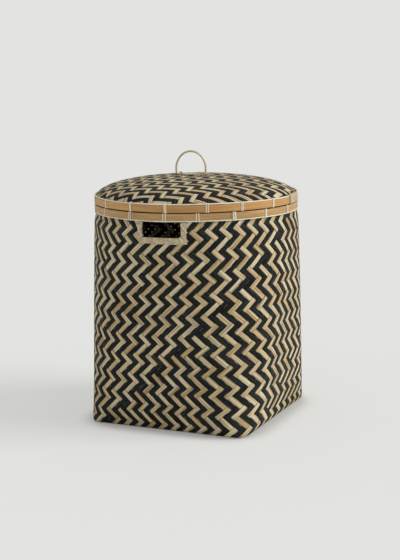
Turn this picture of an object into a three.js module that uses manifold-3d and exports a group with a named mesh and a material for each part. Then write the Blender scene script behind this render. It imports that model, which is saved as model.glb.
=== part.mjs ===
// A tall basket of split strips, square at the foot and round at the mouth, with a domed lift-off lid.
// Millimetres, +Z up, origin under the middle of the base. Angles run from the front, -Y, towards +X.
import * as THREE from 'three';
import { mergeVertices } from 'three/addons/utils/BufferGeometryUtils.js';
import Module from 'manifold-3d';

const wasm = await Module();
wasm.setup();

// The basket's body
const rimRadius = 205; // outside of both outer hoops
const footGirth = 1319.5; // length round the wall where it turns up from the base
const drawInPower = 2.5; // the wall narrows mostly near the rim
const rimHeight = 435.3; // floor to the top of the body's hoops
const cornerRadius = 12; // corner of the square base in plan
const baseEdge = 8; // rounding where the base turns up
const weaveThickness = 1.6; // two strips, one over the other
const pinchDepth = 14; // height over which the wall is drawn in to pass between the hoops

// Hoops, canes and ties of the two rims
const outerHoopThickness = 2.7;
const innerHoopThickness = 2.5;
const bodyHoopDepth = 13;
const lidHoopDepth = 13.5;
const caneRadius = 1.1;
const tieThickness = 0.6;
const tieWidth = 5.5;
const bodyJoint = 1.2; // open butt of an outer hoop
const lidJoint = 4;
const bodyJointAngle = 42.9;
const lidJointAngle = 87;
const bodyTiesInView = [-35.5, -13.5, 7.6, 25.4, 45.3, 65.1, 84.6]; // laid by hand, so not quite even
const lidTiesInView = [-33.9, -12.9, 8.2, 30.5, 49.8, 70.9, 96.2];
const bodyTieCount = 19;
const lidTieCount = 18;
const wrapWidth = 58; // the last tie in view is a wide wrap beside the lid hoop's butt

// Lid
const domeRise = 43;
const domeFullness = 2.25; // exponent of the dome's profile: higher is fuller at the shoulder
const crownAside = new THREE.Vector2(-10, -4.6); // the crown lies off the middle of the rim
const leanPower = 1.5; // the dome leans that way mostly near the top
const skirtDepth = 6.6; // straight part of the lid's weave, between its hoops
const locatingThickness = 2.4;
const locatingRise = 2; // how far the locating hoop stands above the skirt
const lipDepth = 14; // how far the locating hoop drops into the body
const lidClearance = 0.4; // between the locating hoop and the body's ties

// Hand holes
const gripFrom = -21; // clear edges along the wall from the middle of the front
const gripTo = 59.6;
const gripHeight = 30;
const bindingWidth = 12;
const bindingThickness = 0.8;
const stitchWidth = 2.2;
const stitchLean = { left: -59, right: -51 }; // degrees from level, following the view from outside
const stitchDrop = { left: 16.5, right: 12 }; // middle of each stitch below the top of the hand hole

// Ring handle
const handleCane = 2; // radius
const handleHalfWidth = 32; // to the cane's centre line
const handleHeight = 46.3; // between the centre lines of the bar and the top
const handleCorner = 4.5;
const handleTieSpacing = 40;
const handleTieWidth = 3.6;

// Fits and facets
const touchGap = 0.3; // air between pieces that bear on each other
const slotGap = 0.25; // air round a tie where it passes through the weave
const cutReach = 16; // long enough to cut through any wall or hoop
const facets = 48; // round the hoops
const facetSag = rimRadius * (1 - Math.cos(Math.PI / facets));
const insideGap = touchGap + facetSag; // for a straight piece inside a faceted ring

// Radii of the rims, from the outside in
const hoopInner = rimRadius - outerHoopThickness;
const weaveOuter = hoopInner - touchGap;
const weaveInner = weaveOuter - weaveThickness;
const innerHoopOuter = weaveInner - touchGap;
const innerHoopInner = innerHoopOuter - innerHoopThickness;
const bodyTieInner = innerHoopInner - insideGap;
const locatingOuter = bodyTieInner - tieThickness - lidClearance;
const locatingInner = locatingOuter - locatingThickness;
const lidTieInner = locatingInner - insideGap;
const tieOuter = rimRadius + touchGap;

// Heights of the body's rim
const bodyHoopBottom = rimHeight - bodyHoopDepth;
const bodyCaneHeight = bodyHoopBottom - touchGap - caneRadius;
const bodyCaneBottom = bodyCaneHeight - caneRadius;
const bodyTieBottom = bodyCaneBottom - touchGap;
const bodyTieTop = rimHeight + touchGap;
const pinchTop = bodyTieBottom - tieThickness - slotGap;
const pinchBottom = pinchTop - pinchDepth;
const caneCircle = rimRadius - caneRadius - touchGap;

// Heights of the lid's rim
const lidHoopBottom = bodyTieTop + 2 * tieThickness + 2 * touchGap;
const lidHoopTop = lidHoopBottom + lidHoopDepth;
const lidCaneHeight = lidHoopTop + touchGap + caneRadius;
const lidTieBottom = lidHoopBottom - touchGap;
const skirtTop = lidHoopBottom + skirtDepth;
const crownHeight = skirtTop + domeRise;
const locatingTop = skirtTop + locatingRise;
const barHeight = crownHeight + touchGap + handleCane;

// The wall: a rounded square that turns into the rim's circle, a little tighter at the rim than at the
// foot. Distances along it are those at the foot.
const rimTightness = (2 * Math.PI * rimRadius) / footGirth;
const quarter = footGirth / 4;

function wallSection(height) {
  const share = Math.min(1, height / pinchTop);
  const roundness = Math.sqrt(share);
  const tightness = THREE.MathUtils.lerp(1, rimTightness, share ** drawInPower);
  const radius = THREE.MathUtils.lerp(cornerRadius, rimRadius, roundness);
  const straight = Math.max(0, quarter * tightness - (Math.PI / 2) * radius);
  return { roundness, tightness, radius, straight };
}

function wallInset(height) {
  const belowEdge = Math.max(0, baseEdge - height);
  const curl = baseEdge - Math.sqrt(baseEdge ** 2 - belowEdge ** 2);
  const pinch = (rimRadius - weaveOuter) * THREE.MathUtils.smoothstep(height, pinchBottom, pinchTop);
  return curl + pinch;
}

// A point on the wall, by its distance along the wall from the middle of the front, its height,
// and how far it stands out of the wall's outer face
function wallPoint(along, height, out = 0) {
  const { tightness, radius, straight } = wallSection(height);
  const side = Math.round(along / quarter);
  const local = (along - side * quarter) * tightness;
  const flat = Math.min(Math.abs(local), straight / 2);
  const turn = (Math.abs(local) - flat) / radius;
  const reach = radius - wallInset(height) + out;
  const x = Math.sign(local) * (flat + reach * Math.sin(turn));
  const y = -(straight / 2 + reach * Math.cos(turn));
  return new THREE.Vector3(x, y, height).applyAxisAngle(new THREE.Vector3(0, 0, 1), (side * Math.PI) / 2);
}

// Distances along the wall of one level's points: crowded at the corners low down, even at the rim
function wallStations(height) {
  const { roundness, tightness, straight } = wallSection(height);
  const flat = straight / tightness;
  const perSide = facets / 4;
  const flatSteps = 1;
  const evenBy = 0.8; // roundness at which the points are evenly spread
  const stations = [];
  for (let i = 0; i < facets; i += 1) {
    const side = Math.floor(i / perSide);
    const step = i - side * perSide;
    const arcSteps = perSide - 2 * flatSteps;
    let crowded = (step / flatSteps) * (flat / 2);
    if (step > perSide - flatSteps) {
      crowded = quarter - ((perSide - step) / flatSteps) * (flat / 2);
    } else if (step >= flatSteps) {
      crowded = flat / 2 + ((step - flatSteps) / arcSteps) * (quarter - flat);
    }
    const even = (step / perSide) * quarter;
    const evenness = THREE.MathUtils.smoothstep(roundness, 0, evenBy);
    stations.push(side * quarter + THREE.MathUtils.lerp(crowded, even, evenness));
  }
  return stations;
}

// Helpers for closed meshes
function mapVertices(geometry, place) {
  const position = geometry.attributes.position;
  for (let i = 0; i < position.count; i += 1) {
    const point = place(new THREE.Vector3().fromBufferAttribute(position, i));
    position.setXYZ(i, point.x, point.y, point.z);
  }
  return geometry;
}

function toSolid(geometry) {
  const bare = geometry.clone();
  bare.deleteAttribute('normal');
  bare.deleteAttribute('uv');
  const merged = mergeVertices(bare, 1e-4);
  return new wasm.Manifold(
    new wasm.Mesh({
      numProp: 3,
      vertProperties: merged.attributes.position.array,
      triVerts: new Uint32Array(merged.index.array),
    }),
  );
}

function toGeometry(solid) {
  const mesh = solid.getMesh();
  const geometry = new THREE.BufferGeometry();
  geometry.setAttribute('position', new THREE.BufferAttribute(mesh.vertProperties, 3));
  geometry.setIndex(new THREE.BufferAttribute(mesh.triVerts, 1));
  geometry.computeVertexNormals();
  return geometry;
}

function cut(geometry, cutters) {
  let solid = toSolid(geometry);
  for (const cutter of cutters) {
    solid = solid.subtract(toSolid(cutter));
  }
  return toGeometry(solid);
}

function join(geometries) {
  let solid = toSolid(geometries[0]);
  for (const geometry of geometries.slice(1)) {
    solid = solid.add(toSolid(geometry));
  }
  return toGeometry(solid);
}

function indexedGeometry(points, triangles) {
  const geometry = new THREE.BufferGeometry().setFromPoints(points);
  geometry.setIndex(triangles);
  geometry.computeVertexNormals();
  return geometry;
}

function turned(profile) {
  const points = profile.map(([radius, height]) => new THREE.Vector2(radius, height));
  return new THREE.LatheGeometry(points, facets).rotateX(Math.PI / 2);
}

// Rings of points stacked into a skin, with a fan across the first and the last
function stackedSkin(rings) {
  const points = rings.flat();
  const count = rings[0].length;
  const triangles = [];
  for (let k = 0; k + 1 < rings.length; k += 1) {
    for (let i = 0; i < count; i += 1) {
      const next = (i + 1) % count;
      const a = k * count + i;
      const b = k * count + next;
      triangles.push(a, b, b + count, a, b + count, a + count);
    }
  }
  const bottom = points.length;
  const top = bottom + 1;
  const lastRing = (rings.length - 1) * count;
  points.push(new THREE.Vector3(0, 0, rings[0][0].z), new THREE.Vector3(0, 0, rings.at(-1)[0].z));
  for (let i = 0; i < count; i += 1) {
    const next = (i + 1) % count;
    triangles.push(bottom, next, i, top, lastRing + i, lastRing + next);
  }
  return indexedGeometry(points, triangles);
}

// A skin over sections that follow one another in a closed ring
function ringSkin(sections) {
  const sides = sections[0].length;
  const triangles = [];
  sections.forEach((section, i) => {
    const here = i * sides;
    const there = ((i + 1) % sections.length) * sides;
    for (let j = 0; j < sides; j += 1) {
      const next = (j + 1) % sides;
      triangles.push(here + j, here + next, there + next, here + j, there + next, there + j);
    }
  });
  return indexedGeometry(sections.flat(), triangles);
}

// A round cane bent to a closed line that lies in the XZ plane
function closedCane(line, radius, sides) {
  const across = new THREE.Vector3(0, 1, 0);
  const sections = line.map((centre, i) => {
    const tangent = line[(i + 1) % line.length].clone().sub(line.at(i - 1)).normalize();
    const normal = across.clone().cross(tangent);
    return Array.from({ length: sides }, (_, j) => {
      const turn = (j / sides) * 2 * Math.PI;
      const point = centre.clone();
      point.addScaledVector(normal, radius * Math.cos(turn));
      return point.addScaledVector(across, radius * Math.sin(turn));
    });
  });
  return ringSkin(sections);
}

// A convex outline, anticlockwise, moved outwards by a distance
function offsetOutline(outline, distance) {
  const count = outline.length;
  return outline.map((point, i) => {
    const before = outline[(i + count - 1) % count];
    const after = outline[(i + 1) % count];
    const normalIn = new THREE.Vector2(point[1] - before[1], before[0] - point[0]).normalize();
    const normalOut = new THREE.Vector2(after[1] - point[1], point[0] - after[0]).normalize();
    const scale = distance / (1 + normalIn.dot(normalOut));
    return new THREE.Vector2(point[0], point[1]).addScaledVector(normalIn.add(normalOut), scale);
  });
}

// A flat tie that runs round an outline. With grow it is the slot that such a tie passes through.
function loop(outline, width, grow = 0, steps = 1) {
  const outside = offsetOutline(outline, tieThickness + grow);
  const inside = offsetOutline(outline, -grow);
  const half = width / 2 + grow;
  const across = Array.from({ length: steps + 1 }, (_, k) => THREE.MathUtils.lerp(half, -half, k / steps));
  const sections = outline.map((_, i) => [
    ...across.map((z) => new THREE.Vector3(outside[i].x, outside[i].y, z)),
    ...across.map((z) => new THREE.Vector3(inside[i].x, inside[i].y, -z)),
  ]);
  return ringSkin(sections);
}

// A loop in the plane of radius and height, bent to the rim, at the front
function rimLoop(outline, width, grow, steps) {
  return mapVertices(loop(outline, width, grow, steps), ({ x, y, z }) => {
    const turn = -z / rimRadius;
    return new THREE.Vector3(x * Math.sin(turn), -x * Math.cos(turn), y);
  });
}

// The ties in view, and the rest spread evenly over the back
function tieAngles(inView, count) {
  const first = inView[0];
  const last = inView.at(-1);
  const hidden = count - inView.length;
  const step = (first + 360 - last) / (hidden + 1);
  const back = Array.from({ length: hidden }, (_, i) => last + (i + 1) * step);
  return [...inView, ...back].map(THREE.MathUtils.degToRad);
}

// Materials
function finish(color, roughness) {
  return new THREE.MeshStandardMaterial({ color, roughness, metalness: 0 });
}
const stripWood = finish(0xb39a70, 0.6);
const lidHoopWood = finish(0xcda064, 0.5);
const bodyHoopWood = finish(0xa5886a, 0.55);
const innerHoopWood = finish(0x8a6a48, 0.6);
const paleCane = finish(0xd9ccab, 0.5);
const bindingStrip = finish(0xc9b891, 0.7);
const handleWood = finish(0xb8a676, 0.45);

const basket = new THREE.Group();
const lid = new THREE.Group();
const handle = new THREE.Group();
handle.position.set(crownAside.x, crownAside.y, barHeight);
basket.add(lid);
lid.add(handle);

function addPart(parent, name, geometry, material) {
  const mesh = new THREE.Mesh(geometry, material);
  mesh.name = name;
  parent.add(mesh);
  return mesh;
}

// Outlines of the rim ties, inside face, as radius and height
const bodyTieOutline = [
  [bodyTieInner, bodyTieBottom],
  [tieOuter, bodyTieBottom],
  [tieOuter, bodyTieTop],
  [bodyTieInner, bodyTieTop],
];
const lidTieShoulder = lidCaneHeight + caneRadius + touchGap;
const lidTieOutline = [
  [lidTieInner, lidTieBottom],
  [tieOuter, lidTieBottom],
  [tieOuter, lidCaneHeight + touchGap],
  [caneCircle + caneRadius, lidTieShoulder + touchGap],
  [innerHoopOuter - touchGap, lidTieShoulder + touchGap],
  [lidTieInner, locatingTop + touchGap],
];
const bodyTies = tieAngles(bodyTiesInView, bodyTieCount);
const lidTies = tieAngles(lidTiesInView, lidTieCount);
const wrapIndex = lidTiesInView.length - 1;
const wrapSteps = 6;

function lidTieLoop(index, grow) {
  if (index === wrapIndex) {
    return rimLoop(lidTieOutline, wrapWidth, grow, wrapSteps);
  }
  return rimLoop(lidTieOutline, tieWidth, grow, 1);
}

// Hand holes
const gripTop = bodyTieBottom;
const gripBottom = gripTop - gripHeight;
const leafOut = touchGap;
const leafIn = weaveThickness + insideGap + touchGap; // clears the wall's facets
const stitchGap = 2 * touchGap;

// A slab that follows the wall
function wallSlab(from, to, bottom, top, inner, outer) {
  const alongSteps = Math.max(1, Math.round((to - from) / bindingWidth));
  const heightSteps = Math.max(1, Math.round((top - bottom) / (bindingWidth / 3)));
  const box = new THREE.BoxGeometry(to - from, outer - inner, top - bottom, alongSteps, 1, heightSteps);
  box.translate((from + to) / 2, -(inner + outer) / 2, (bottom + top) / 2);
  return mapVertices(box, ({ x, y, z }) => wallPoint(x, z, -y));
}

// A folded strip: one leaf outside the wall, one inside, and a web through the hand hole
function foldedStrip(leaf, web) {
  const outside = leafOut + bindingThickness;
  const inside = leafIn + bindingThickness;
  return join([
    wallSlab(leaf.from, leaf.to, leaf.bottom, leaf.top, leafOut, outside),
    wallSlab(leaf.from, leaf.to, leaf.bottom, leaf.top, -inside, -leafIn),
    wallSlab(web.from, web.to, web.bottom, web.top, -inside, outside),
  ]);
}

function sideBinding(edge, outwards) {
  const webEnd = edge + outwards * bindingThickness;
  const leafEnd = edge + outwards * bindingWidth;
  const bottom = gripBottom + touchGap;
  const top = gripTop - tieThickness - touchGap;
  const span = (end) => ({ from: Math.min(edge, end), to: Math.max(edge, end), bottom, top });
  return foldedStrip(span(leafEnd), span(webEnd));
}

function bottomBinding() {
  const leaf = { from: gripFrom - bindingWidth, to: gripTo + bindingWidth };
  const web = { from: gripFrom + touchGap, to: gripTo - touchGap, top: gripBottom };
  web.bottom = gripBottom - bindingThickness;
  leaf.bottom = gripBottom - bindingWidth;
  leaf.top = gripBottom;
  return foldedStrip(leaf, web);
}

// A cane stitch that crosses one side binding on the slant
function gripStitch(side, grow) {
  const lean = THREE.MathUtils.degToRad(stitchLean[side]);
  const middle = side === 'left' ? gripFrom - bindingWidth / 2 : gripTo + bindingWidth / 2;
  const height = gripTop - stitchDrop[side];
  const slant = (stitchWidth / 2) * Math.abs(Math.tan(lean));
  const half = (bindingWidth / 2 + touchGap) / Math.cos(lean) + slant;
  const steps = 6; // enough to follow the wall
  const outline = [];
  for (let i = 0; i <= steps; i += 1) {
    outline.push([THREE.MathUtils.lerp(-half, half, i / steps), -(leafOut + bindingThickness + stitchGap)]);
  }
  for (let i = 0; i <= steps; i += 1) {
    outline.push([THREE.MathUtils.lerp(half, -half, i / steps), leafIn + bindingThickness + stitchGap]);
  }
  return mapVertices(loop(outline, stitchWidth, grow), ({ x, y, z }) => {
    const along = middle + x * Math.cos(lean) - z * Math.sin(lean);
    const up = height + x * Math.sin(lean) + z * Math.cos(lean);
    return wallPoint(along, up, -y);
  });
}

function gripCutters() {
  const room = bindingThickness + touchGap;
  return [
    wallSlab(gripFrom - room, gripTo + room, gripBottom - room, gripTop, -cutReach, cutReach),
    gripStitch('left', slotGap),
    gripStitch('right', slotGap),
  ];
}

// Body weave: base and wall in one skin
function bodyWeave() {
  const levels = [];
  const edgeSteps = 3;
  for (let i = 0; i <= edgeSteps; i += 1) {
    levels.push(baseEdge * (1 - Math.cos((i / edgeSteps) * (Math.PI / 2))));
  }
  const wallSteps = 7;
  const first = Math.sqrt(baseEdge / pinchBottom);
  for (let i = 1; i <= wallSteps; i += 1) {
    levels.push(pinchBottom * THREE.MathUtils.lerp(first, 1, i / wallSteps) ** 2);
  }
  const pinchSteps = 3;
  for (let i = 1; i <= pinchSteps; i += 1) {
    levels.push(THREE.MathUtils.lerp(pinchBottom, pinchTop, i / pinchSteps));
  }
  levels.push(rimHeight);
  const outside = levels.map((level) => wallStations(level).map((along) => wallPoint(along, level)));
  const inside = levels.map((level) =>
    wallStations(level).map((along) => {
      const point = wallPoint(along, level, -weaveThickness);
      point.z = THREE.MathUtils.lerp(weaveThickness, rimHeight, level / rimHeight);
      return point;
    }),
  );
  const tieSlots = bodyTies.map((angle) => rimLoop(bodyTieOutline, tieWidth, slotGap).rotateZ(angle));
  const front = gripCutters();
  const back = gripCutters().map((cutter) => cutter.rotateZ(Math.PI));
  return cut(stackedSkin([...outside, ...inside.reverse()]), [...front, ...back, ...tieSlots]);
}
addPart(basket, 'body_weave', bodyWeave(), stripWood);

function plainHoop(inner, outer, bottom, top) {
  return turned([
    [inner, bottom],
    [outer, bottom],
    [outer, top],
    [inner, top],
    [inner, bottom],
  ]);
}

// An outer hoop is a split of bamboo with its ends butted, leaving a narrow gap
function outerHoop(bottom, top, jointAngle, jointWidth) {
  const ring = plainHoop(hoopInner, rimRadius, bottom, top);
  const joint = new THREE.BoxGeometry(jointWidth, cutReach, top - bottom + cutReach);
  joint.translate(0, -rimRadius, (top + bottom) / 2);
  joint.rotateZ(THREE.MathUtils.degToRad(jointAngle));
  return cut(ring, [joint]);
}

function edgeCane(height) {
  const sides = 5;
  const profile = [];
  for (let i = 0; i <= sides; i += 1) {
    const turn = ((i % sides) / sides) * 2 * Math.PI;
    profile.push([caneCircle + caneRadius * Math.cos(turn), height + caneRadius * Math.sin(turn)]);
  }
  return turned(profile);
}

const bodyInnerHoop = plainHoop(innerHoopInner, innerHoopOuter, bodyCaneBottom, rimHeight);
addPart(basket, 'body_outer_hoop', outerHoop(bodyHoopBottom, rimHeight, bodyJointAngle, bodyJoint), bodyHoopWood);
addPart(basket, 'body_inner_hoop', bodyInnerHoop, innerHoopWood);
addPart(basket, 'body_edge_cane', edgeCane(bodyCaneHeight), paleCane);
bodyTies.forEach((angle, i) => {
  const number = String(i + 1).padStart(2, '0');
  const tie = addPart(basket, `body_rim_tie_${number}`, rimLoop(bodyTieOutline, tieWidth), paleCane);
  tie.rotation.z = angle;
});

for (const [place, turn] of [['front', 0], ['back', Math.PI]]) {
  const grip = new THREE.Group();
  grip.rotation.z = turn;
  basket.add(grip);
  addPart(grip, `${place}_grip_binding_left`, sideBinding(gripFrom, -1), bindingStrip);
  addPart(grip, `${place}_grip_binding_right`, sideBinding(gripTo, 1), bindingStrip);
  addPart(grip, `${place}_grip_binding_bottom`, bottomBinding(), bindingStrip);
  addPart(grip, `${place}_grip_stitch_left`, gripStitch('left'), paleCane);
  addPart(grip, `${place}_grip_stitch_right`, gripStitch('right'), paleCane);
}

// Lid weave: a full dome, its crown off the middle, with a short skirt between the hoops
function domeProfile(radius, rise) {
  const steps = 8;
  const profile = [];
  for (let i = 0; i <= steps; i += 1) {
    const turn = (i / steps) * (Math.PI / 2);
    const spread = Math.sin(turn) ** (2 / domeFullness);
    const climb = Math.max(0, Math.cos(turn)) ** (2 / domeFullness);
    profile.push([radius * spread, skirtTop + rise * climb]);
  }
  return profile;
}

function leanToCrown(geometry) {
  return mapVertices(geometry, (point) => {
    const lean = (Math.max(0, point.z - skirtTop) / domeRise) ** leanPower;
    point.x += crownAside.x * lean;
    point.y += crownAside.y * lean;
    return point;
  });
}

const handleTieOutline = [
  [-(handleCane + touchGap), -(handleCane + touchGap + weaveThickness + insideGap)],
  [handleCane + touchGap, -(handleCane + touchGap + weaveThickness + insideGap)],
  [handleCane + touchGap, handleCane + touchGap],
  [-(handleCane + touchGap), handleCane + touchGap],
];

function handleTie(side, grow) {
  const tie = loop(handleTieOutline, handleTieWidth, grow);
  tie.rotateX(Math.PI / 2).rotateZ(Math.PI / 2);
  return tie.translate(crownAside.x + (side * handleTieSpacing) / 2, crownAside.y, barHeight);
}

function lidWeave() {
  const inside = domeProfile(weaveInner, domeRise - weaveThickness);
  const outside = domeProfile(weaveOuter, domeRise).reverse();
  const skirt = [
    [weaveInner, lidHoopBottom],
    [weaveOuter, lidHoopBottom],
  ];
  const cutters = lidTies.map((angle, i) => lidTieLoop(i, slotGap).rotateZ(angle));
  cutters.push(handleTie(-1, slotGap), handleTie(1, slotGap));
  return cut(leanToCrown(turned([...inside, ...skirt, ...outside])), cutters);
}

function locatingHoop() {
  const ring = plainHoop(locatingInner, locatingOuter, rimHeight - lipDepth, locatingTop);
  return cut(ring, lidTies.map((angle, i) => lidTieLoop(i, slotGap).rotateZ(angle)));
}

const lidInnerHoop = plainHoop(locatingOuter + touchGap, innerHoopOuter, lidHoopBottom, skirtTop);
addPart(lid, 'lid_weave', lidWeave(), stripWood);
addPart(lid, 'lid_outer_hoop', outerHoop(lidHoopBottom, lidHoopTop, lidJointAngle, lidJoint), lidHoopWood);
addPart(lid, 'lid_inner_hoop', lidInnerHoop, innerHoopWood);
addPart(lid, 'lid_locating_hoop', locatingHoop(), innerHoopWood);
addPart(lid, 'lid_edge_cane', edgeCane(lidCaneHeight), paleCane);
lidTies.forEach((angle, i) => {
  const number = String(i < wrapIndex ? i + 1 : i).padStart(2, '0');
  const name = i === wrapIndex ? 'lid_hoop_wrap' : `lid_rim_tie_${number}`;
  addPart(lid, name, lidTieLoop(i), paleCane).rotation.z = angle;
});

// Ring handle: a straight bar on the crown, two rounded corners and a half-round bow
function handleLine() {
  const line = [];
  const arc = (x, z, radius, from, to, steps) => {
    for (let i = 0; i <= steps; i += 1) {
      const turn = THREE.MathUtils.degToRad(THREE.MathUtils.lerp(from, to, i / steps));
      line.push(new THREE.Vector3(x + radius * Math.cos(turn), 0, z + radius * Math.sin(turn)));
    }
  };
  const cornerX = handleHalfWidth - handleCorner;
  arc(cornerX, handleCorner, handleCorner, -90, 0, 4);
  arc(0, handleHeight - handleHalfWidth, handleHalfWidth, 0, 180, 16);
  arc(-cornerX, handleCorner, handleCorner, 180, 270, 4);
  return line;
}
addPart(handle, 'handle_ring', closedCane(handleLine(), handleCane, 8), handleWood);
addPart(lid, 'handle_tie_left', handleTie(-1), paleCane);
addPart(lid, 'handle_tie_right', handleTie(1), paleCane);

export default basket;
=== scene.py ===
# A tall lidded basket of light and dark split strips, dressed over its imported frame.
# Metres, +Z up, the front faces -Y. Angles run from the front towards +X.
import math

import bpy
import numpy as np
from mathutils import Matrix


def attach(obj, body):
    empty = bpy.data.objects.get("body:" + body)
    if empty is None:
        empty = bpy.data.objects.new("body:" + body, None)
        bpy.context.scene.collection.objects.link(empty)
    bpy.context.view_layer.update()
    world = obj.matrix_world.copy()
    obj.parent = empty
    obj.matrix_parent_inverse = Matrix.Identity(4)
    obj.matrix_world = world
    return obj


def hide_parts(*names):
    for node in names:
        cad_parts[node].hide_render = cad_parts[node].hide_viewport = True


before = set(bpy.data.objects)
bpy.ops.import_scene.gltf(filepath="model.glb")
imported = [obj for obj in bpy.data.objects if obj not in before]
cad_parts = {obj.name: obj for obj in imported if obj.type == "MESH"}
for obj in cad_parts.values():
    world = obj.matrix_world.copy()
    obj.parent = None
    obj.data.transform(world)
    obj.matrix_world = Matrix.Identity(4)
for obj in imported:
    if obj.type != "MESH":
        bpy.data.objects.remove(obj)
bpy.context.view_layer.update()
print("frame loaded,", len(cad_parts), "nodes")

mm = 0.001
chance = np.random.default_rng(7)  # hand-made differences, the same on each run
solveSteps = 14  # rounds that place a crossing on its curved sheet

# The basket's body, as the frame has it
body = {
    "rimRadius": 205 * mm,
    "footGirth": 1319.5 * mm,  # length round the wall where it turns up from the base
    "drawInPower": 2.5,  # the wall narrows mostly near the rim
    "cornerRadius": 12 * mm,  # corner of the square base
    "baseEdge": 8 * mm,  # rounding where the base turns up
    "pinchBottom": 404.65 * mm,  # the wall is drawn in above this to pass between the hoops
    "pinchTop": 418.65 * mm,
    "pinchIn": 3 * mm,
}
rim = body["rimRadius"]
girth = body["footGirth"]
quarter = girth / 4
rimTightness = 2 * math.pi * rim / girth
edgeLength = body["baseEdge"] * math.pi / 2
baseHalf = (quarter - math.pi / 2 * body["cornerRadius"]) / 2 + body["cornerRadius"] - body["baseEdge"]

# Hand holes, cut in the front and the back
grip = {
    "left": -21 * mm,  # along the wall from its middle
    "right": 59.6 * mm,
    "bottom": 389.4 * mm,
    "top": 419.5 * mm,
    "bindingWidth": 12 * mm,
    "margin": 0.5 * mm,  # the weave is cut this far back, and further at the top
    "topMargin": 4 * mm,
}


# Selecting, editing and finishing
def selectOnly(*pieces):
    bpy.ops.object.select_all(action="DESELECT")
    for piece in pieces:
        piece.select_set(True)
    bpy.context.view_layer.objects.active = pieces[0]


def editAll(piece):
    selectOnly(piece)
    bpy.ops.object.mode_set(mode="EDIT")
    bpy.ops.mesh.select_all(action="SELECT")


def leaveEdit():
    bpy.ops.object.mode_set(mode="OBJECT")


def startSection(name, place, sides, radius):
    # a flat section that faces along X, open for editing: a disc, or a square where it has four sides
    bpy.ops.object.select_all(action="DESELECT")
    turned = (0, math.pi / 2, 0)
    if sides == 4:
        bpy.ops.mesh.primitive_plane_add(size=2 * radius, location=place, rotation=turned)
    else:
        bpy.ops.mesh.primitive_circle_add(
            vertices=sides, radius=radius, fill_type="NGON", location=place, rotation=turned
        )
    piece = bpy.context.object
    piece.name = name
    bpy.ops.object.transform_apply(location=True, rotation=True, scale=True)
    editAll(piece)
    return piece


def readPoints(piece):
    points = np.zeros(len(piece.data.vertices) * 3)
    piece.data.vertices.foreach_get("co", points)
    return points.reshape(-1, 3)


def moveVertices(piece, place):
    # place takes and gives an array of points
    piece.data.vertices.foreach_set("co", place(readPoints(piece)).ravel())
    piece.data.update()


def applyModifier(piece, kind, **settings):
    modifier = piece.modifiers.new(kind.title(), kind)
    for name, value in settings.items():
        setattr(modifier, name, value)
    selectOnly(piece)
    bpy.ops.object.modifier_apply(modifier=modifier.name)


def recalculateNormals(piece):
    editAll(piece)
    bpy.ops.mesh.remove_doubles(threshold=0.01 * mm)
    bpy.ops.mesh.normals_make_consistent(inside=False)
    leaveEdit()


def writeGrain(mesh, grain):
    # grain has a pair for each vertex
    corners = np.zeros(len(mesh.loops), np.int32)
    mesh.loops.foreach_get("vertex_index", corners)
    while mesh.uv_layers:
        mesh.uv_layers.remove(mesh.uv_layers[0])
    layer = mesh.uv_layers.new(name="grain")
    layer.data.foreach_set("uv", grain[corners].astype(np.float32).ravel())


def setGrain(piece, grainOf):
    # the grain map runs along a strip in u and across it in v, ten millimetres to one
    writeGrain(piece.data, grainOf(readPoints(piece)) / (10 * mm))


def writeAttribute(mesh, name, values):
    attribute = mesh.attributes.new(name, "FLOAT", "FACE")
    attribute.data.foreach_set("value", values)


def setTone(piece, tone):
    writeAttribute(piece.data, "tone", np.full(len(piece.data.polygons), tone, np.float32))


def finishPiece(piece, rides, slotName, material, nodes, smoothAngle=35):
    selectOnly(piece)
    bpy.ops.object.transform_apply(location=True, rotation=True, scale=True)
    bpy.ops.object.shade_smooth_by_angle(angle=math.radians(smoothAngle))
    piece.data.materials.clear()
    piece.data.materials.append(material)
    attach(piece, rides)
    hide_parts(*nodes)


# Colours and node helpers
def paint(red, green, blue):
    def linear(value):
        value /= 255
        return value / 12.92 if value <= 0.04045 else ((value + 0.055) / 1.055) ** 2.4

    return (linear(red), linear(green), linear(blue), 1)


def feed(tree, socket, value):
    if isinstance(value, bpy.types.NodeSocket):
        tree.links.new(value, socket)
    else:
        socket.default_value = value


def addNode(tree, kind, place, feeds=None, **settings):
    # feeds gives inputs, by name or number, a value or another node's output
    node = tree.nodes.new(kind)
    node.location = place
    for name, value in settings.items():
        setattr(node, name, value)
    for key, value in (feeds or {}).items():
        feed(tree, node.inputs[key], value)
    return node


def mixColours(tree, place, factor, first, second):
    feeds = {0: factor, 6: first, 7: second}
    return addNode(tree, "ShaderNodeMix", place, feeds, data_type="RGBA").outputs[2]


def multiply(tree, place, first, second):
    # open-ended, where calculate stays between 0 and 1
    feeds = {0: first, 1: second}
    return addNode(tree, "ShaderNodeMath", place, feeds, operation="MULTIPLY").outputs[0]


def calculate(tree, place, operation, first, second, third=0.0):
    feeds = {0: first, 1: second, 2: third}
    return addNode(tree, "ShaderNodeMath", place, feeds, operation=operation, use_clamp=True).outputs[0]


def stretchRange(tree, place, value, low, high):
    feeds = {"Value": value, "From Min": low, "From Max": high}
    node = addNode(tree, "ShaderNodeMapRange", place, feeds, interpolation_type="SMOOTHSTEP")
    return node.outputs["Result"]


def noiseMask(group, level, vector, scale, detail, spread):
    feeds = {"Vector": vector, "Scale": scale, "Detail": detail}
    noise = addNode(group, "ShaderNodeTexNoise", (-400, level), feeds)
    return stretchRange(group, (-150, level), noise.outputs["Fac"], *spread)


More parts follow.
